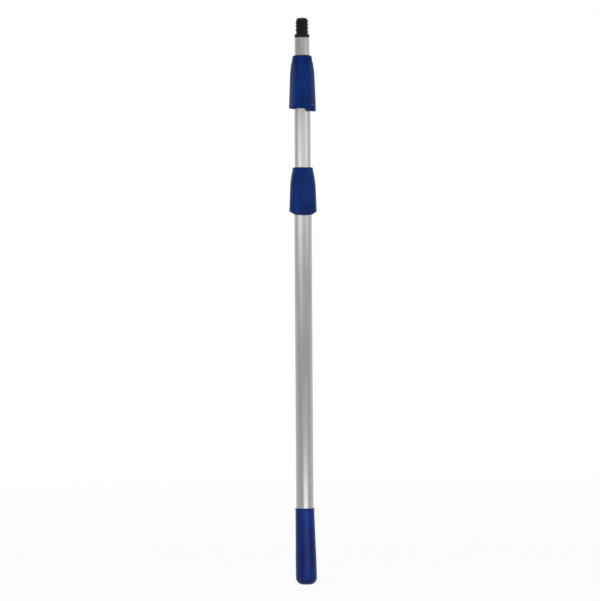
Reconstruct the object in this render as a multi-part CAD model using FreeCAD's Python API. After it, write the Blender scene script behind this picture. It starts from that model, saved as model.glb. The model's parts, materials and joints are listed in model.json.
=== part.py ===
import FreeCAD, Part
import math
import os

from FreeCAD import Vector

# A three-section telescopic window cleaning pole, closed, standing on the end of its grip.
# Millimetres. The pole's axis is Z and the middle of the grip's end is the origin.
# The front is -Y; an angle called "facing" is measured from the front towards +X.

# Tubes: three round aluminium tubes, one inside the other.
main_diameter = 35.0
tube_wall = 0.8
tube_gap = 0.5
main_tube_length = 786.0
middle_bare_length = 118.2
top_bare_length = 35.5

# Clearances, and how far a cutter runs past what it cuts.
over = 1.0
press_clearance = 0.02
running_clearance = 0.1
loose_clearance = 0.3
end_play = 0.3

# Hand grip, whose end is set over to the right, and the plug that closes the main tube.
grip_length = 154.0
grip_top_radius = 19.1
grip_full_radius = 21.3
grip_full_height = 25.0
grip_end_rounding = 14.0
grip_set_over = 2.7
grip_floor = 14.0
grip_bead_height = 4.0
grip_bead_rise = 0.45
grip_vent_radius = 0.8
grip_vent_height = 16.5
grip_vent_facing = -8.0
plug_flange = 3.0
plug_spigot = 20.0
plug_hollow_radius = 6.0

# Foot of each sliding tube: a plug, and a split ring that guides it in the outer tube.
foot_flange = 3.0
foot_neck = 8.0
foot_spigot = 14.0
foot_neck_depth = 4.0
foot_air_radius = 4.0
foot_pin_radius = 2.0
foot_pin_inset = 0.2
ring_slit = 2.0

# Stop dimple pressed into a tube, which catches the guide ring at full reach.
dimple_below_end = 123.0
dimple_radius = 3.0
dimple_rise = 0.35
main_dimple_facing = 73.0
middle_dimple_facing = 150.0

# Twist lock: depths are measured down from the top of its collar.
lock_cap = 4.0
lock_nose_end = 16.0
lock_shoe_top = 19.0
lock_shoe_height = 14.4
lock_flange_top = 36.0
lock_flange = 3.0
lock_tube_seat = 38.0
lock_sleeve_end = 66.0
lock_rivet_depth = 54.0
lock_guide_wall = 1.8
lock_waist_wall = 2.6
lock_sleeve_wall = 1.4
lock_flange_rise = 3.1
cam_rise = 1.2
cam_turn = 90.0
cam_overrun = 12.0
cam_standoff = 1.6
shoe_width = 12.0
shoe_nose_radius = 10.0
shoe_facing = 90.0
snap_ring_thickness = 1.6
snap_ring_slit = 3.4
snap_ring_depth = 1.1
skirt_wall = 2.4
rivet_radius = 1.6
rivet_head_radius = 2.8
rivet_head = 0.8

# Outside of each collar. Every collar has three softly bulged grip panels, and a tab under one.
lower_collar = {
    "name": "lower",
    "height": 88.8,
    "neck_radius": 20.2,
    "neck_rounding": 1.2,
    "ledge_drop": 12.0,
    "ledge_radius": 22.6,
    "shoulder_drop": 35.0,
    "shoulder_radius": 25.8,
    "skirt_radius": 27.6,
    "hem_height": 7.0,
    "hem_radius": 28.4,
    "tab_drop": 7.5,
    "tab_flat": 22.0,
    "tab_width": 56.0,
    "facing": 2.5,
}
upper_collar = {
    "name": "upper",
    "height": 107.8,
    "neck_radius": 19.4,
    "neck_rounding": 3.6,
    "ledge_drop": 15.0,
    "ledge_radius": 21.8,
    "shoulder_drop": 36.0,
    "shoulder_radius": 24.7,
    "skirt_radius": 27.1,
    "hem_height": 9.0,
    "hem_radius": 27.4,
    "tab_drop": 6.0,
    "tab_flat": 12.0,
    "tab_width": 34.0,
    "facing": 58.0,
}
ledge_step = 0.6
shoulder_rounding = 40.0
hem_rounding = 3.0
panel_half_angle = 35.5
panel_bulge_radius = 60.0

# Threaded tip.
tip_flange = 7.0
tip_flange_radius = 15.2
tip_spigot = 22.0
tip_length = 32.9
tip_root_radius = 11.8
tip_crest_base_radius = 13.5
tip_crest_end_radius = 12.7
tip_end_rounding = 6.0
tip_thread_pitch = 7.2
tip_thread_start = 2.6
tip_thread_turn = 245.0
tip_thread_runout = 5.0
tip_crest_width = 2.0
tip_root_width = 5.2
tip_root_sink = 0.6
tip_spigot_rounding = 1.0
tip_flange_rounding = 0.5
tip_seat_gap = 0.4
tip_seat_relief = 0.5
tip_rivet_depth = 11.0
tip_rivet_shank = 5.0

# Worked out from the sizes above.
up = Vector(0, 0, 1)
tube_step = tube_wall + tube_gap
main_radius = main_diameter / 2
middle_radius = main_radius - tube_step
top_radius = middle_radius - tube_step
foot_height = foot_flange + foot_neck
main_base = grip_floor + plug_flange
main_top = main_base + main_tube_length
middle_foot = main_base + plug_spigot
middle_base = middle_foot + foot_height
lower_collar_top = main_top + lock_tube_seat
upper_collar_top = lower_collar_top + middle_bare_length + upper_collar["height"]
middle_top = upper_collar_top - lock_tube_seat
top_foot = middle_base + foot_spigot
top_base = top_foot + foot_height
top_top = upper_collar_top + top_bare_length


def aroundAxis(shape, facing):
    """Turn a shape built facing +X so that it faces the given direction."""
    moved = shape.copy()
    moved.rotate(Vector(0, 0, 0), up, facing - 90)
    return moved


def lifted(shape, height):
    """Move a shape up."""
    moved = shape.copy()
    moved.translate(Vector(0, 0, height))
    return moved


def cylinder(radius, low, high):
    """Make a cylinder on the axis between two heights."""
    return Part.makeCylinder(radius, high - low, Vector(0, 0, low))


def sleeve(outer, inner, low, high):
    """Make a round sleeve on the axis between two heights."""
    return cylinder(outer, low, high).cut(cylinder(inner, low - over, high + over))


def crosswise(radius, start, length, height):
    """Make a cylinder lying along +X at the given height."""
    return Part.makeCylinder(radius, length, Vector(start, 0, height), Vector(1, 0, 0))


def turned(corners):
    """Revolve a closed outline of (radius, height, rounding) corners about the axis."""
    edges = []
    ends = []
    count = len(corners)
    for i in range(count):
        before = Vector(corners[i - 1][0], 0, corners[i - 1][1])
        here = Vector(corners[i][0], 0, corners[i][1])
        after = Vector(corners[(i + 1) % count][0], 0, corners[(i + 1) % count][1])
        rounding = corners[i][2]
        if rounding == 0:
            ends.append((here, here))
            continue
        back = (before - here).normalize()
        forth = (after - here).normalize()
        half = back.getAngle(forth) / 2
        reach = rounding / math.tan(half)
        middle = (back + forth).normalize()
        centre = here + middle * (rounding / math.sin(half))
        start = here + back * reach
        end = here + forth * reach
        edges.append(Part.Arc(start, centre - middle * rounding, end).toShape())
        ends.append((start, end))
    for i in range(count):
        start = ends[i][1]
        end = ends[(i + 1) % count][0]
        if start.distanceToPoint(end) > 1e-6:
            edges.append(Part.makeLine(start, end))
    wire = Part.Wire(Part.sortEdges(edges)[0])
    return Part.Face(wire).revolve(Vector(0, 0, 0), up, 360)


def save(name, shape):
    """Write one node's STEP file."""
    shape.exportStep("parts/" + name + ".step")
    print(name, "solids", len(shape.Solids), "volume", round(shape.Volume, 1))


def dimple(radius, height):
    """A dimple pressed into a tube's wall: the bump inside it and the dent outside."""
    bump = Part.makeSphere(dimple_radius, Vector(radius - tube_wall + dimple_radius - dimple_rise, 0, height))
    bump = bump.common(cylinder(radius, height - dimple_radius, height + dimple_radius))
    dent = Part.makeSphere(dimple_radius, Vector(radius + dimple_radius - dimple_rise, 0, height))
    return bump, dent


def tube(radius, low, high):
    """A plain round tube."""
    return sleeve(radius, radius - tube_wall, low, high)


def dimpledTube(radius, low, high, facing):
    """A tube with the stop dimple near its top."""
    bump, dent = dimple(radius, high - dimple_below_end)
    return tube(radius, low, high).fuse(aroundAxis(bump, facing)).cut(aroundAxis(dent, facing))


def footPinHole(radius, base):
    """The cross hole for the pin that holds a foot plug in its tube."""
    height = base + foot_spigot / 2
    return crosswise(foot_pin_radius + press_clearance, -radius - over, 2 * (radius + over), height)


def footPlug(radius, base):
    """The plug in the lower end of a sliding tube, with a neck for the guide ring."""
    bore = radius + tube_gap
    body = cylinder(bore - end_play, base - foot_height, base - foot_neck)
    body = body.fuse(cylinder(radius - foot_neck_depth, base - foot_neck, base))
    body = body.fuse(cylinder(radius - tube_wall - press_clearance, base, base + foot_spigot))
    body = body.cut(cylinder(foot_air_radius, base - foot_height - over, base + foot_spigot + over))
    return body.cut(footPinHole(radius, base)).removeSplitter()


def footPin(radius, base):
    """The pin through a sliding tube and its foot plug, flush with the tube."""
    length = 2 * (radius - foot_pin_inset)
    return crosswise(foot_pin_radius, -length / 2, length, base + foot_spigot / 2)


def guideRing(radius, base):
    """The split ring round a foot plug's neck: it slides in the outer tube."""
    outer = radius + tube_gap - running_clearance
    inner = radius - foot_neck_depth + running_clearance
    low = base - foot_neck + running_clearance
    ring = sleeve(outer, inner, low, base - running_clearance)
    slit = Part.makeBox(outer, ring_slit, foot_neck, Vector(0, -ring_slit / 2, low))
    return ring.cut(slit)


def rivetPlaces():
    """The two sides on which a lock body is riveted to its tube."""
    return [shoe_facing - 90, shoe_facing + 90]


def lockRivet(tube_radius, top):
    """One rivet that holds a lock body on its tube, facing +X."""
    height = top - lock_rivet_depth
    outside = tube_radius + lock_sleeve_wall
    length = lock_sleeve_wall + tube_wall
    head = crosswise(rivet_head_radius, outside + press_clearance, rivet_head, height)
    return crosswise(rivet_radius, outside - length, length + rivet_head, height).fuse(head).removeSplitter()


def lockRivets(tube_radius, top):
    """The rivets of one lock body."""
    return Part.makeCompound([aroundAxis(lockRivet(tube_radius, top), facing) for facing in rivetPlaces()])


def rivetHoles(tube_radius, top):
    """The holes that the lock rivets pass through."""
    hole = crosswise(rivet_radius + press_clearance, 0, 2 * tube_radius, top - lock_rivet_depth)
    return Part.makeCompound([aroundAxis(hole, facing) for facing in rivetPlaces()])


def lockBody(tube_radius, top):
    """The bush on a tube's top end: it guides the inner tube and carries the shoes."""
    inner_radius = tube_radius - tube_step
    bore = inner_radius + running_clearance
    nose = inner_radius + lock_guide_wall
    waist = inner_radius + lock_waist_wall
    body = turned([
        (bore, top - lock_cap - end_play, 0),
        (nose, top - lock_cap - end_play, 0),
        (nose, top - lock_nose_end, 0),
        (waist, top - lock_nose_end, 0),
        (waist, top - lock_flange_top, 0),
        (tube_radius + lock_flange_rise, top - lock_flange_top, 0),
        (tube_radius + lock_flange_rise, top - lock_flange_top - lock_flange, 0),
        (tube_radius + lock_sleeve_wall, top - lock_flange_top - lock_flange, 0),
        (tube_radius + lock_sleeve_wall, top - lock_sleeve_end, 0),
        (tube_radius + press_clearance, top - lock_sleeve_end, 0),
        (tube_radius + press_clearance, top - lock_tube_seat, 0),
        (bore, top - lock_tube_seat, 0),
    ])
    low = top - lock_shoe_top - lock_shoe_height
    window = Part.makeBox(
        2 * tube_radius, shoe_width, lock_shoe_height, Vector(0, -shoe_width / 2, low)
    )
    for facing in (shoe_facing, shoe_facing + 180):
        body = body.cut(aroundAxis(window, facing))
    return body.cut(rivetHoles(tube_radius, top))


def brakeShoe(tube_radius, top, facing):
    """A shoe that the collar's cam presses on the inner tube, drawn back as at rest."""
    inner_radius = tube_radius - tube_step
    outer = inner_radius + lock_waist_wall + cam_standoff
    width = shoe_width - 2 * running_clearance
    low = top - lock_shoe_top - lock_shoe_height + running_clearance
    height = lock_shoe_height - 2 * running_clearance
    depth = outer - inner_radius / 2
    block = Part.makeBox(depth, width, height, Vector(inner_radius / 2, -width / 2, low))
    face = Part.makeCylinder(inner_radius + running_clearance, height, Vector(cam_rise, 0, low))
    nose = Part.makeCylinder(shoe_nose_radius, height, Vector(outer - shoe_nose_radius, 0, low))
    return aroundAxis(block.common(nose).cut(face), facing)


def camRadius(tube_radius, past_shoe):
    """Radius of the cam at an angle in degrees past a shoe, against the locking turn."""
    at_rest = tube_radius - tube_step + lock_waist_wall + cam_standoff + running_clearance
    slope = cam_rise / cam_turn
    high = at_rest + slope * cam_overrun
    low = at_rest - slope * (cam_turn + cam_overrun)
    if past_shoe <= cam_turn + cam_overrun:
        return at_rest - slope * past_shoe
    share = (past_shoe - cam_turn - cam_overrun) / (180 - cam_turn - 2 * cam_overrun)
    return low + (high - low) * (1 - math.cos(math.pi * share)) / 2


def camOpening(tube_radius, low, high):
    """The cam chamber: two spiral ramps, one for each shoe."""
    edges = []
    for shoe_angle in (shoe_facing - 90, shoe_facing + 90):
        spans = [(-cam_overrun, cam_turn + cam_overrun, 8), (cam_turn + cam_overrun, 180 - cam_overrun, 6)]
        for first, last, steps in spans:
            points = []
            for i in range(steps + 1):
                past = first + (last - first) * i / steps
                angle = math.radians(shoe_angle - past)
                radius = camRadius(tube_radius, past)
                points.append(Vector(radius * math.cos(angle), radius * math.sin(angle), low))
            curve = Part.BSplineCurve()
            curve.interpolate(points)
            edges.append(curve.toShape())
    wire = Part.Wire(Part.sortEdges(edges)[0])
    return Part.Face(wire).extrude(Vector(0, 0, high - low))


def panelDistance(inset, radius):
    """Distance from the axis to the middle of a grip panel, where the collar has this radius."""
    half = math.radians(panel_half_angle)
    chord = radius * math.sin(half)
    sagitta = panel_bulge_radius - math.sqrt(panel_bulge_radius ** 2 - chord ** 2)
    return radius * math.cos(half) + sagitta - inset


def panelCutter(collar, inset):
    """What is cut away to leave one bulged grip panel facing +X, leaning in with the taper."""
    height = collar["height"]
    low_distance = panelDistance(inset, collar["skirt_radius"])
    high_distance = panelDistance(inset, collar["shoulder_radius"])
    rise = height - collar["shoulder_drop"] - collar["hem_height"]
    lean = math.degrees(math.atan((low_distance - high_distance) / rise))
    reach = collar["hem_radius"]
    slope = Part.makePolygon([
        Vector(low_distance - reach / 4, -reach, reach / 4),
        Vector(low_distance + reach, -reach, -reach),
        Vector(low_distance + reach, -reach, height + reach),
        Vector(low_distance - reach / 4, -reach, height + reach),
        Vector(low_distance - reach / 4, -reach, reach / 4),
    ])
    block = Part.Face(slope).extrude(Vector(0, 2 * reach, 0))
    bulge = Part.makeCylinder(
        panel_bulge_radius - inset,
        height + 4 * reach,
        Vector(low_distance - panel_bulge_radius + inset, 0, -2 * reach),
    )
    cutter = block.cut(bulge)
    cutter.rotate(Vector(low_distance, 0, 0), Vector(0, 1, 0), -lean)
    cutter.translate(Vector(0, 0, collar["hem_height"]))
    return cutter


def collarForm(collar, inset):
    """A collar's outside, from its hem at height 0, or the same form inset by a wall."""
    height = collar["height"]
    low = -collar["tab_drop"] - 2 * inset
    neck = collar["neck_radius"] - inset
    ledge = collar["ledge_radius"] - inset
    form = turned([
        (0, low, 0),
        (collar["hem_radius"] - inset, low, hem_rounding),
        (collar["skirt_radius"] - inset, collar["hem_height"], 0),
        (collar["shoulder_radius"] - inset, height - collar["shoulder_drop"], shoulder_rounding),
        (ledge, height - collar["ledge_drop"], 0),
        (ledge - ledge_step, height - collar["ledge_drop"], 0),
        (neck, height - collar["neck_rounding"] / 2, collar["neck_rounding"]),
        (neck - collar["neck_rounding"], height, 0),
        (0, height, 0),
    ])
    for i in range(3):
        cutter = panelCutter(collar, inset)
        cutter.rotate(Vector(0, 0, 0), up, 120 * i)
        form = form.cut(cutter)
    return form


def hemTrim(collar):
    """What is cut away round a collar's hem, leaving the tab under the panel facing +X."""
    drop = collar["tab_drop"]
    high = collar["hem_height"]
    flat = collar["tab_flat"] / 2
    side = collar["tab_width"] / 2
    reach = 2 * collar["hem_radius"]
    slope = Part.BSplineCurve()
    slope.interpolate(
        Points=[Vector(0, flat, -drop), Vector(0, side, 0)],
        InitialTangent=Vector(0, 1, 0),
        FinalTangent=Vector(0, side - flat, drop),
    )
    outline = Part.Wire([
        Part.makeLine(Vector(0, 0, -drop), Vector(0, flat, -drop)),
        slope.toShape(),
        Part.makeLine(Vector(0, side, 0), Vector(0, side, 2 * high)),
        Part.makeLine(Vector(0, side, 2 * high), Vector(0, 0, 2 * high)),
        Part.makeLine(Vector(0, 0, 2 * high), Vector(0, 0, -drop)),
    ])
    half = Part.Face(outline).extrude(Vector(2 * reach, 0, 0))
    tab = half.fuse(half.mirror(Vector(0, 0, 0), Vector(0, 1, 0)))
    trim = turned([
        (0, 0, 0),
        (collar["hem_radius"], 0, hem_rounding),
        (collar["hem_radius"], high, 0),
        (reach, high, 0),
        (reach, -reach, 0),
        (0, -reach, 0),
    ])
    return trim.cut(tab)


def twistCollar(collar, tube_radius, top):
    """A lock's collar: tapered grip outside, cam and snap ring groove inside."""
    height = collar["height"]
    inner_radius = tube_radius - tube_step
    nose = inner_radius + lock_guide_wall
    flange = tube_radius + lock_flange_rise
    ring_top = height - lock_flange_top - lock_flange
    form = collarForm(collar, 0).cut(hemTrim(collar))
    cavity = collarForm(collar, skirt_wall)
    ceiling = ring_top - 2 * snap_ring_thickness
    cavity = cavity.common(cylinder(2 * collar["hem_radius"], -2 * collar["hem_radius"], ceiling))
    form = aroundAxis(form.cut(cavity), collar["facing"])
    form = form.cut(cylinder(inner_radius + loose_clearance, height - lock_cap - over, height + over))
    form = form.cut(cylinder(nose + running_clearance, ceiling, height - lock_cap))
    form = form.cut(camOpening(tube_radius, ceiling, height - lock_nose_end))
    form = form.cut(cylinder(flange + loose_clearance, ceiling - over, height - lock_flange_top + end_play))
    form = form.cut(ringGroove(tube_radius, ring_top))
    return lifted(form, top - height)


def ringGroove(tube_radius, top):
    """The groove in a collar for its snap ring, which runs under the lock body's flange."""
    radius = snapRingRadius(tube_radius) + press_clearance
    return cylinder(
        radius, top - end_play - snap_ring_thickness - press_clearance, top - end_play + press_clearance
    )


def snapRingRadius(tube_radius):
    """Outer radius of a snap ring, which reaches past the flange into its groove."""
    return tube_radius + lock_flange_rise + snap_ring_depth


def snapRing(collar, tube_radius, top):
    """The split snap ring that keeps a collar on its lock body."""
    high = top - lock_flange_top - lock_flange - end_play
    outer = snapRingRadius(tube_radius)
    inner = tube_radius + lock_sleeve_wall + loose_clearance
    ring = sleeve(outer, inner, high - snap_ring_thickness, high)
    slit = Part.makeBox(
        outer, snap_ring_slit, 2 * snap_ring_thickness,
        Vector(0, -snap_ring_slit / 2, high - 1.5 * snap_ring_thickness),
    )
    return ring.cut(aroundAxis(slit, collar["facing"] + 180))


def gripSleeve():
    """The closed hand grip: straight on its left, flared on its right, with a rim bead and an air vent."""
    shoulder = grip_length - grip_bead_height
    taper = grip_full_radius - grip_top_radius
    side = Part.BSplineCurve()
    side.interpolate(
        Points=[
            Vector(grip_full_radius, 0, grip_full_height),
            Vector(grip_full_radius - taper / 2, 0, (grip_full_height + shoulder) / 2),
            Vector(grip_top_radius, 0, shoulder),
        ],
        InitialTangent=Vector(0, 0, 1),
        FinalTangent=Vector(-taper, 0, shoulder - grip_full_height),
    )
    flat = grip_full_radius - grip_end_rounding
    turn = math.sqrt(0.5) * grip_end_rounding
    corner = Part.Arc(
        Vector(flat, 0, 0),
        Vector(flat + turn, 0, grip_end_rounding - turn),
        Vector(grip_full_radius, 0, grip_end_rounding),
    )
    bead = grip_top_radius + grip_bead_rise
    points = [
        Vector(grip_top_radius, 0, shoulder),
        Vector(bead, 0, shoulder + grip_bead_rise),
        Vector(bead, 0, grip_length - grip_bead_rise),
        Vector(bead - grip_bead_rise, 0, grip_length),
        Vector(0, 0, grip_length),
        Vector(0, 0, 0),
        Vector(flat, 0, 0),
    ]
    edges = [Part.makeLine(points[i], points[i + 1]) for i in range(len(points) - 1)]
    edges.append(corner.toShape())
    edges.append(Part.makeLine(
        Vector(grip_full_radius, 0, grip_end_rounding), Vector(grip_full_radius, 0, grip_full_height)
    ))
    edges.append(side.toShape())
    wire = Part.Wire(Part.sortEdges(edges)[0])
    form = Part.Face(wire).revolve(Vector(0, 0, 0), up, 360)
    skew = FreeCAD.Matrix()
    skew.A13 = -grip_set_over / grip_length
    skew.A14 = grip_set_over
    form = form.transformGeometry(skew)
    grip = form.cut(cylinder(main_radius + press_clearance, grip_floor, grip_length + over))
    vent = crosswise(grip_vent_radius, main_radius, grip_full_radius, grip_vent_height)
    return grip.cut(aroundAxis(vent, grip_vent_facing))


def endPlug():
    """The plug in the main tube's lower end: the closed middle section rests on it."""
    body = cylinder(main_radius, grip_floor, main_base)
    body = body.fuse(cylinder(main_radius - tube_wall - press_clearance, main_base, middle_foot))
    hollow = cylinder(plug_hollow_radius, grip_floor + plug_flange, middle_foot + over)
    return body.cut(hollow).removeSplitter()


def mainTube():
    """The outer tube, with the holes of the lower lock's rivets."""
    shape = dimpledTube(main_radius, main_base, main_top, main_dimple_facing)
    return shape.cut(rivetHoles(main_radius, lower_collar_top))


def middleTube():
    """The middle tube, with its foot pin hole and the holes of the upper lock's rivets."""
    shape = dimpledTube(middle_radius, middle_base, middle_top, middle_dimple_facing)
    shape = shape.cut(footPinHole(middle_radius, middle_base))
    return shape.cut(rivetHoles(middle_radius, upper_collar_top))


def topTube():
    """The inner tube, with the holes of its foot pin and of the tip's rivet."""
    shape = tube(top_radius, top_base, top_top).cut(footPinHole(top_radius, top_base))
    return shape.cut(tipRivetHole())


def tipRivetHole():
    """The hole at the back for the rivet that holds the tip."""
    start = top_radius - tip_rivet_shank - end_play
    length = tip_rivet_shank + end_play + over
    hole = crosswise(rivet_radius + press_clearance, start, length, top_top - tip_rivet_depth)
    return aroundAxis(hole, 180)


def tipRivet():
    """The rivet that holds the tip's spigot in the top tube."""
    height = top_top - tip_rivet_depth
    shank = crosswise(rivet_radius, top_radius - tip_rivet_shank, tip_rivet_shank + rivet_head, height)
    head = crosswise(rivet_head_radius, top_radius + press_clearance, rivet_head, height)
    return aroundAxis(shank.fuse(head).removeSplitter(), 180)


def threadRidge(low, high):
    """A helical ridge between two heights, as wide at its crest as the thread's base."""
    helix = Part.makeHelix(tip_thread_pitch, high - low, tip_crest_base_radius)
    root = tip_root_radius - tip_root_sink
    profile = Part.makePolygon([
        Vector(root, 0, -tip_root_width / 2),
        Vector(tip_crest_base_radius, 0, -tip_crest_width / 2),
        Vector(tip_crest_base_radius, 0, tip_crest_width / 2),
        Vector(root, 0, tip_root_width / 2),
        Vector(root, 0, -tip_root_width / 2),
    ])
    sweep = Part.BRepOffsetAPI.MakePipeShell(Part.Wire(helix.Edges))
    sweep.setFrenetMode(True)
    sweep.add(profile, False, False)
    sweep.build()
    sweep.makeSolid()
    ridge = lifted(sweep.shape(), low)
    ridge.rotate(Vector(0, 0, 0), up, tip_thread_turn)
    return ridge


def threadedTip():
    """The black screw tip: spigot in the top tube, flange, and a coarse tapered thread."""
    foot = -tip_flange / 2
    core = turned([
        (0, foot, 0),
        (tip_root_radius, foot, 0),
        (tip_root_radius, tip_length, tip_end_rounding),
        (0, tip_length, 0),
    ])
    taper = turned([
        (0, foot, 0),
        (tip_crest_base_radius, foot, 0),
        (tip_crest_end_radius, tip_length, tip_end_rounding),
        (0, tip_length, 0),
    ])
    ridge = threadRidge(tip_thread_start, tip_length - tip_thread_runout)
    screw = core.fuse(ridge).common(taper)
    bore = top_radius - tube_wall - press_clearance
    seat = tip_crest_base_radius + tip_seat_gap
    spigot = turned([
        (0, -tip_flange - tip_spigot, 0),
        (bore, -tip_flange - tip_spigot, tip_spigot_rounding),
        (bore, -tip_flange, 0),
        (tip_flange_radius, -tip_flange, tip_flange_rounding),
        (tip_flange_radius, 0, tip_flange_rounding),
        (seat, 0, 0),
        (seat, -tip_seat_relief, 0),
        (0, -tip_seat_relief, 0),
    ])
    return lifted(spigot.fuse(screw), top_top + tip_flange).cut(tipRivetHole())


def main():
    os.makedirs("parts", exist_ok=True)
    save("main_tube", mainTube())
    save("hand_grip", gripSleeve())
    save("end_plug", endPlug())
    save("middle_tube", middleTube())
    save("top_tube", topTube())
    locks = [
        (lower_collar, main_radius, lower_collar_top),
        (upper_collar, middle_radius, upper_collar_top),
    ]
    for collar, radius, top in locks:
        name = collar["name"]
        save(name + "_lock_body", lockBody(radius, top))
        save(name + "_lock_rivets", lockRivets(radius, top))
        save(name + "_collar", twistCollar(collar, radius, top))
        save(name + "_snap_ring", snapRing(collar, radius, top))
        save(name + "_brake_shoe_right", brakeShoe(radius, top, shoe_facing))
        save(name + "_brake_shoe_left", brakeShoe(radius, top, shoe_facing + 180))
    feet = [("middle", middle_radius, middle_base), ("top", top_radius, top_base)]
    for name, radius, base in feet:
        save(name + "_foot_plug", footPlug(radius, base))
        save(name + "_foot_pin", footPin(radius, base))
        save(name + "_guide_ring", guideRing(radius, base))
    save("threaded_tip", threadedTip())
    save("tip_rivet", tipRivet())


main()
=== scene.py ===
import json
import math
import bpy
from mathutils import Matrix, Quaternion, Vector

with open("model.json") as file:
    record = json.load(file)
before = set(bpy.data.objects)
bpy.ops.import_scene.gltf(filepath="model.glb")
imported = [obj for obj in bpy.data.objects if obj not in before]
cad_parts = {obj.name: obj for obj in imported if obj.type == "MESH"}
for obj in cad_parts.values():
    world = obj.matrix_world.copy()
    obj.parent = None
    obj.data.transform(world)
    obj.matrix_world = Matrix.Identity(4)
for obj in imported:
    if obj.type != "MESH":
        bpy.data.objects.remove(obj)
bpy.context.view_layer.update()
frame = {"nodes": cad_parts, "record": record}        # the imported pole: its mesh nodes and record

nodes = frame["nodes"]
print("loaded", len(nodes), "nodes")


class Signal:
    # one output socket; sums and products of signals add their own Math nodes
    def __init__(self, finish, socket):
        self.finish = finish
        self.socket = socket

    def combine(self, operation, first, second):
        return self.finish.node("ShaderNodeMath", {"operation": operation}, {0: first, 1: second})

    def __add__(self, other):
        return self.combine("ADD", self, other)

    def __sub__(self, other):
        return self.combine("SUBTRACT", self, other)

    def __rsub__(self, other):
        return self.combine("SUBTRACT", other, self)

    def __mul__(self, other):
        return self.combine("MULTIPLY", self, other)

    __radd__ = __add__
    __rmul__ = __mul__


class Finish:
    # a node tree with one shader, for a piece, the floor or the room
    def __init__(self, tree):
        self.tree = tree
        tree.nodes.clear()

    def node(self, kind, settings=None, inputs=None, output=0):
        made = self.tree.nodes.new(kind)
        for key, value in (settings or {}).items():
            setattr(made, key, value)
        for key, value in (inputs or {}).items():
            if isinstance(value, Signal):
                self.tree.links.new(value.socket, made.inputs[key])
            else:
                made.inputs[key].default_value = value
        return Signal(self, made.outputs[output]) if made.outputs else made

    def place(self, spread, shift):
        # the point on the piece in metres, stretched for a pattern
        point = self.node("ShaderNodeTexCoord", output="Object")
        scaled = self.node("ShaderNodeVectorMath", {"operation": "MULTIPLY"}, {0: point, 1: spread})
        return self.node("ShaderNodeVectorMath", {"operation": "ADD"}, {0: scaled, 1: shift})

    def noise(self, spread, detail, rough, shift=(0.0, 0.0, 0.0)):
        # a cloudy pattern with so many waves per metre along each axis
        return self.node("ShaderNodeTexNoise", {"noise_dimensions": "3D"}, {
            "Vector": self.place(spread, shift), "Scale": 1.0, "Detail": detail, "Roughness": rough})

    def range(self, signal, low, high, outLow=0.0, outHigh=1.0):
        # maps low..high smoothly to outLow..outHigh
        return self.node("ShaderNodeMapRange", {"interpolation_type": "SMOOTHSTEP", "clamp": True}, {
            "Value": signal, "From Min": low, "From Max": high, "To Min": outLow, "To Max": outHigh})

    def blend(self, share, first, second):
        # a mix of two colours; 6, 7 and 2 are that node's colour sockets
        settings = {"data_type": "RGBA", "clamp_factor": True}
        inputs = {0: share, 6: asColour(first), 7: asColour(second)}
        return self.node("ShaderNodeMix", settings, inputs, output=2)

    def bump(self, height, distance, strength, under=None):
        inputs = {"Height": height, "Distance": distance, "Strength": strength}
        if under is not None:
            inputs["Normal"] = under
        return self.node("ShaderNodeBump", {}, inputs)


def asColour(value):
    return value if isinstance(value, Signal) else (*value, 1.0)


def newFinish(name):
    material = bpy.data.materials.new(name)
    material.use_nodes = True
    return material, Finish(material.node_tree)


def close(finish, material, sockets):
    shader = finish.node("ShaderNodeBsdfPrincipled", {}, sockets)
    finish.node("ShaderNodeOutputMaterial", {}, {"Surface": shader})
    return material


drawnTube = {
    "metal": (0.40, 0.40, 0.39),
    "lightMetal": (0.53, 0.53, 0.525),
    "lineWidth": 0.0007,       # the fine drawing lines along the tube
    "bandWidth": 0.004,        # the broader, fainter ones
    "clouds": (30.0, 30.0, 9.0),       # waves per metre, across and along the tube
    "scuffs": (60.0, 60.0, 1800.0),    # short marks around the tube
    "roughness": 0.25,
    "lineDepth": 0.00002,
}


def tubeFinish():
    material, finish = newFinish("drawnAluminium")
    fine = 1 / drawnTube["lineWidth"]
    broad = 1 / drawnTube["bandWidth"]
    lines = finish.noise((fine, fine, 6.0), 3.0, 0.6)
    bands = finish.noise((broad, broad, 2.0), 2.0, 0.5)
    clouds = finish.noise(drawnTube["clouds"], 3.0, 0.55, (7.0, 3.0, 1.0))
    scuffs = finish.noise(drawnTube["scuffs"], 2.0, 0.6, (2.0, 9.0, 4.0))
    scuffed = finish.range(scuffs, 0.62, 0.78) * finish.range(clouds, 0.5, 0.65)
    share = finish.range(lines * 0.35 + bands * 0.4 + clouds * 0.25, 0.36, 0.64)
    colour = finish.blend(share, drawnTube["metal"], drawnTube["lightMetal"])
    rough = drawnTube["roughness"] + lines * 0.08 + clouds * 0.08 + scuffed * 0.12
    normal = finish.bump(lines, drawnTube["lineDepth"], 0.5)
    return close(finish, material, {
        "Base Color": colour, "Metallic": 1.0, "Roughness": rough, "Normal": normal})


gripBlue = {
    "blue": (0.001, 0.0115, 0.11),
    "paleBlue": (0.003, 0.026, 0.19),
    "roughness": 0.22,
    "streak": 0.3,             # how far the paler blue runs along the piece rather than in clouds
    "shine": 0.15,
}
collarBlue = {
    "blue": (0.0007, 0.0122, 0.09),
    "paleBlue": (0.0015, 0.0245, 0.15),
    "roughness": 0.24,
    "streak": 0.6,
    "shine": 0.08,
}
blueSkin = {
    "grain": 0.0009,
    "grainDepth": 0.00005,
    "flow": (90.0, 90.0, 14.0),        # waves per metre, across and along the piece
    "flowDepth": 0.0003,
    "clouds": (28.0, 28.0, 20.0),
    "scratches": (420.0, 420.0, 26.0),
    "dust": (0.05, 0.065, 0.14),       # the colour of worn places
}


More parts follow.
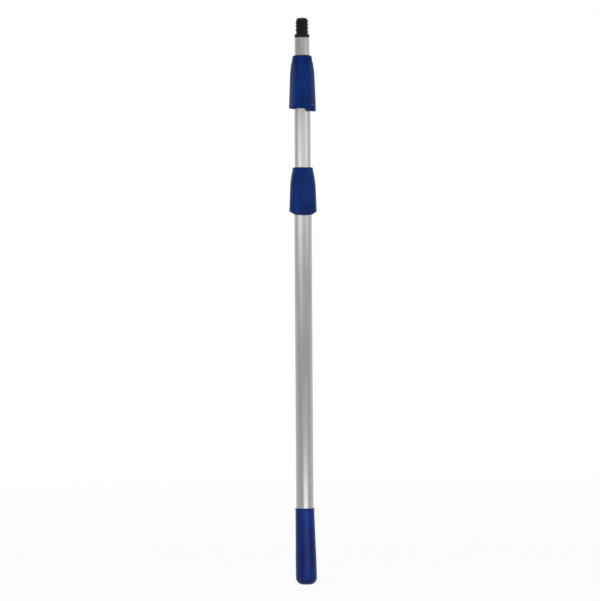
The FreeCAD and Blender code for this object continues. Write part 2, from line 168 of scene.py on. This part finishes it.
def blueFinish(name, plastic):
    # the grip and the collars: a fine grain, paler flow lines and a few worn scratches
    material, finish = newFinish(name)
    size = 1 / blueSkin["grain"]
    streak = plastic["streak"]
    grain = finish.noise((size, size, size), 2.0, 0.6)
    flow = finish.noise(blueSkin["flow"], 3.0, 0.55)
    clouds = finish.noise(blueSkin["clouds"], 3.0, 0.5, (5.0, 1.0, 8.0))
    scratches = finish.noise(blueSkin["scratches"], 2.0, 0.7, (1.0, 6.0, 2.0))
    worn = finish.range(scratches, 0.66, 0.8) * finish.range(clouds, 0.45, 0.62)
    share = finish.range(flow * streak + clouds * (1 - streak), 0.34, 0.66)
    colour = finish.blend(share, plastic["blue"], plastic["paleBlue"])
    colour = finish.blend(worn * 0.35, colour, blueSkin["dust"])
    rough = plastic["roughness"] + grain * 0.08 + clouds * 0.08 + worn * 0.1
    normal = finish.bump(grain, blueSkin["grainDepth"], 0.35)
    normal = finish.bump(flow, blueSkin["flowDepth"], 0.12, normal)
    return close(finish, material, {
        "Base Color": colour, "Roughness": rough, "Normal": normal,
        "Specular IOR Level": plastic["shine"]})


blackNylon = {
    "dark": (0.002, 0.002, 0.002),
    "light": (0.008, 0.008, 0.0085),
    "roughness": 0.3,
    "grain": 0.0011,
    "grainDepth": 0.00016,
    "shine": 0.22,
}
lockNylon = {
    "dark": (0.02, 0.02, 0.021),
    "light": (0.035, 0.035, 0.036),
    "roughness": 0.5,
    "grain": 0.0009,
    "grainDepth": 0.00004,
    "shine": 0.5,
}
brakeRubber = {
    "dark": (0.012, 0.012, 0.012),
    "light": (0.022, 0.021, 0.02),
    "roughness": 0.75,
    "grain": 0.0006,
    "grainDepth": 0.00005,
    "shine": 0.5,
}
guideNylon = {
    "dark": (0.62, 0.61, 0.56),
    "light": (0.72, 0.71, 0.67),
    "roughness": 0.45,
    "grain": 0.0009,
    "grainDepth": 0.00003,
    "shine": 0.5,
}


def plasticFinish(name, plastic):
    # nylon and rubber: a moulded grain over a slightly cloudy colour
    material, finish = newFinish(name)
    size = 1 / plastic["grain"]
    grain = finish.noise((size, size, size), 3.0, 0.65)
    clouds = finish.noise((45.0, 45.0, 45.0), 3.0, 0.5)
    share = finish.range(grain * 0.5 + clouds * 0.5, 0.35, 0.65)
    colour = finish.blend(share, plastic["dark"], plastic["light"])
    rough = plastic["roughness"] + finish.range(grain, 0.3, 0.7) * 0.25 - 0.12
    normal = finish.bump(grain, plastic["grainDepth"], 0.6)
    return close(finish, material, {
        "Base Color": colour, "Roughness": rough, "Normal": normal,
        "Specular IOR Level": plastic["shine"]})


rivetMetal = {
    "dark": (0.55, 0.55, 0.55),
    "light": (0.7, 0.7, 0.7),
    "roughness": 0.25,
    "lineDepth": 0.00001,
}
springSteel = {
    "dark": (0.3, 0.3, 0.31),
    "light": (0.45, 0.45, 0.46),
    "roughness": 0.28,
    "lineDepth": 0.00001,
}


def brushedFinish(name, metal):
    material, finish = newFinish(name)
    brushed = finish.noise((300.0, 300.0, 2500.0), 2.0, 0.6)
    clouds = finish.noise((80.0, 80.0, 80.0), 3.0, 0.5)
    share = finish.range(brushed * 0.5 + clouds * 0.5, 0.35, 0.65)
    colour = finish.blend(share, metal["dark"], metal["light"])
    rough = metal["roughness"] + brushed * 0.15
    normal = finish.bump(brushed, metal["lineDepth"], 0.5)
    return close(finish, material, {
        "Base Color": colour, "Metallic": 1.0, "Roughness": rough, "Normal": normal})


finishes = {
    "tube_aluminium": tubeFinish(),
    "blue_grip": blueFinish("blueGrip", gripBlue),
    "blue_collar": blueFinish("blueCollar", collarBlue),
    "black_tip": plasticFinish("blackNylon", blackNylon),
    "lock_nylon": plasticFinish("lockNylon", lockNylon),
    "brake_rubber": plasticFinish("brakeRubber", brakeRubber),
    "guide_nylon": plasticFinish("guideNylon", guideNylon),
    "rivet_aluminium": brushedFinish("rivetAluminium", rivetMetal),
    "spring_steel": brushedFinish("springSteel", springSteel),
}
for entry in frame["record"]["subparts"]:
    slots = nodes[entry["node"]].material_slots
    for index in range(len(slots)):
        slots[index].material = finishes[entry["material_slot"]]
print("finished", len(finishes), "surfaces")


white = (1.0, 1.0, 1.0)
studio = {
    "floorSize": 40.0,
    "floorColour": (0.92, 0.92, 0.92),
    "floorGlow": 0.92,         # share of the floor's look that is plain white, near the pole
    "glowReach": 5.0,          # how far from the pole it is all white
    "roomStrength": 0.5,
    "frontShade": 0.26,        # how bright the room is on the side of the camera
    "leftShade": 0.05,         # how much darker it is towards the left, and brighter to the right
}


def onlySeen(finish):
    # 1 for rays that see the background directly, in a mirror or through glass
    seen = finish.node("ShaderNodeLightPath", output="Is Camera Ray")
    glossy = finish.node("ShaderNodeLightPath", output="Is Glossy Ray")
    through = finish.node("ShaderNodeLightPath", output="Is Transmission Ray")
    return seen, glossy, through


def makeFloor():
    half = studio["floorSize"] / 2
    mesh = bpy.data.meshes.new("floor")
    corners = [(-half, -half, 0), (half, -half, 0), (half, half, 0), (-half, half, 0)]
    mesh.from_pydata(corners, [], [(0, 1, 2, 3)])
    floor = bpy.data.objects.new("floor", mesh)
    bpy.context.scene.collection.objects.link(floor)
    material, finish = newFinish("floorPaper")
    seen, glossy, through = onlySeen(finish)
    matt = finish.node("ShaderNodeBsdfDiffuse", {}, {"Color": asColour(studio["floorColour"])})
    glowing = finish.node("ShaderNodeEmission", {}, {"Color": asColour(white), "Strength": 1.0})
    point = finish.node("ShaderNodeTexCoord", output="Object")
    away = finish.node("ShaderNodeVectorMath", {"operation": "LENGTH"}, {0: point}, output="Value")
    glow = finish.range(away, 0.5, studio["glowReach"], studio["floorGlow"], 1.0)
    share = (seen + glossy + through) * glow
    mixed = finish.node("ShaderNodeMixShader", {}, {0: share, 1: matt, 2: glowing})
    finish.node("ShaderNodeOutputMaterial", {}, {"Surface": mixed})
    mesh.materials.append(material)
    return floor


def makeRoom():
    world = bpy.data.worlds.new("room")
    bpy.context.scene.world = world
    world.use_nodes = True
    finish = Finish(world.node_tree)
    seen, glossy, through = onlySeen(finish)
    direction = finish.node("ShaderNodeTexCoord", output="Generated")
    across = finish.node("ShaderNodeSeparateXYZ", {}, {0: direction}, output="X")
    along = finish.node("ShaderNodeSeparateXYZ", {}, {0: direction}, output="Y")
    shade = finish.range(along, -0.3, 0.5, studio["frontShade"], 1.0) + across * studio["leftShade"]
    strength = seen + through + glossy * shade + (1 - seen - through - glossy) * studio["roomStrength"]
    light = finish.node("ShaderNodeBackground", {}, {"Color": asColour(white), "Strength": strength})
    finish.node("ShaderNodeOutputWorld", {}, {"Surface": light})


lamps = {
    # where it stands, what it points at, its width and height, its brightness, if it lights the floor
    "left": ((-0.64, -0.60, 0.82), (0.0, 0.0, 0.82), (0.75, 0.28), 1.95, False),
    "front": ((0.05, -0.85, 0.87), (0.0, 0.0, 0.87), (0.80, 0.27), 1.25, False),
    "right": ((0.74, -0.48, 0.93), (0.0, 0.0, 0.93), (0.80, 0.38), 1.25, False),
    "low": ((0.20, -0.72, 0.07), (0.0, 0.0, 0.07), (0.80, 0.12), 3.5, False),
    "overhead": ((-0.20, -1.40, 3.0), (0.0, 0.0, 0.6), (2.0, 2.0), 2.4, True),
}


def makeLamps(floor):
    # the near lamps light the pole and leave the floor even; the overhead one gives it its shadow
    unlit = bpy.data.collections.new("unlitByNearLamps")
    unlit.objects.link(floor)
    unlit.collection_objects[0].light_linking.link_state = "EXCLUDE"
    for name, (place, aim, size, brightness, lightsFloor) in lamps.items():
        light = bpy.data.lights.new(name, "AREA")
        light.shape = "RECTANGLE"
        light.size, light.size_y = size
        light.energy = brightness * math.pi * size[0] * size[1]
        lamp = bpy.data.objects.new(name, light)
        lamp.location = place
        lamp.rotation_euler = (Vector(aim) - Vector(place)).to_track_quat("-Z", "Y").to_euler()
        lamp.visible_camera = False
        if not lightsFloor:
            lamp.light_linking.receiver_collection = unlit
        bpy.context.scene.collection.objects.link(lamp)


viewpoint = {
    "distance": 8.0,
    "height": 0.62,
    "aimAside": -0.0072,
    "aimHeight": 0.5728,
    "frameHeight": 1.2118,     # what the camera takes in, top to bottom, at the pole
    "roll": 0.35,              # degrees
    "sensor": 36.0,            # millimetres
}


def makeCamera():
    data = bpy.data.cameras.new("camera")
    data.sensor_width = viewpoint["sensor"]
    aim = Vector((viewpoint["aimAside"], 0.0, viewpoint["aimHeight"]))
    place = Vector((viewpoint["aimAside"], -viewpoint["distance"], viewpoint["height"]))
    reach = (aim - place).length
    data.lens = viewpoint["sensor"] * reach / viewpoint["frameHeight"]
    data.clip_start, data.clip_end = 0.05, 100.0
    camera = bpy.data.objects.new("camera", data)
    camera.location = place
    facing = (aim - place).to_track_quat("-Z", "Y")
    roll = Quaternion((0.0, 0.0, 1.0), math.radians(-viewpoint["roll"]))
    camera.rotation_mode = "QUATERNION"
    camera.rotation_quaternion = facing @ roll
    bpy.context.scene.collection.objects.link(camera)
    bpy.context.scene.camera = camera


floor = makeFloor()
makeRoom()
makeLamps(floor)
makeCamera()
bpy.context.scene.view_settings.view_transform = "Standard"
print("studio ready")
